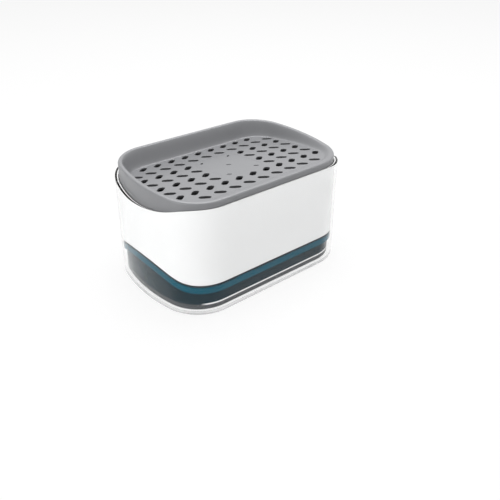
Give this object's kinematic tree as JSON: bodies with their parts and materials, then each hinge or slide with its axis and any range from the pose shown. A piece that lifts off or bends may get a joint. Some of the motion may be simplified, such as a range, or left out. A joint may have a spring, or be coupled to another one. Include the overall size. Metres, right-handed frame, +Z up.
{
  "type": "soap pump caddy",
  "caption": "Countertop soap dispenser with a clear rounded case, tinted soap tub, white pump insert and a slotted grey sponge tray that presses down to pump soap.",
  "frame": {"origin": "centre of the surface the caddy stands on, under the middle of its base", "axes": "+X along the length, -Y towards the front with the low lip of the tray, +Z up"},
  "size_m": [0.15, 0.102, 0.0842],
  "materials": {
    "clear": "clear polished plastic",
    "tub": "smoked teal translucent plastic",
    "white": "glossy white plastic",
    "tray": "satin grey plastic",
    "pump": "natural white plastic",
    "seal": "milky silicone",
    "feet": "grey silicone",
    "spring": "drawn wire",
    "ball": "polished ball"
  },
  "bodies": {
    "case": {"clear_case": "clear", "anti_slip_feet": "feet", "soap_tub": "tub", "tub_seal": "seal"},
    "insert": {"white_sleeve": "white", "deck_gasket": "seal", "pump_barrel": "pump", "ring_nut": "pump", "inlet_tube": "pump", "ball_retainer": "pump", "guide_cap": "white", "return_spring": "spring"},
    "plunger": {"pump_stem": "pump", "piston": "pump", "piston_seal": "seal", "pump_head": "white", "spigot_ring": "seal"},
    "tray": {"sponge_tray": "tray", "outlet_plate": "tray"},
    "inlet_valve": {"inlet_ball": "ball"},
    "outlet_valve": {"outlet_ball": "ball"}
  },
  "joints": [
    {"name": "insert_lift", "type": "slide", "parent": "case", "child": "insert", "axis": [0, 0, 1], "range_m": [0, 0.075]},
    {"name": "pump_press", "type": "slide", "parent": "insert", "child": "plunger", "axis": [0, 0, -1], "range_m": [0, 0.008], "stiffness_N_per_m": 700, "springref_m": -0.008, "deforming": ["return_spring"]},
    {"name": "tray_lift", "type": "slide", "parent": "plunger", "child": "tray", "axis": [0, 0, 1], "range_m": [0, 0.03]},
    {"name": "inlet_ball_lift", "type": "slide", "parent": "insert", "child": "inlet_valve", "axis": [0, 0, 1], "range_m": [0, 0.0012]},
    {"name": "outlet_ball_lift", "type": "slide", "parent": "plunger", "child": "outlet_valve", "axis": [0, 0, 1], "range_m": [0, 0.0014]}
  ]
}
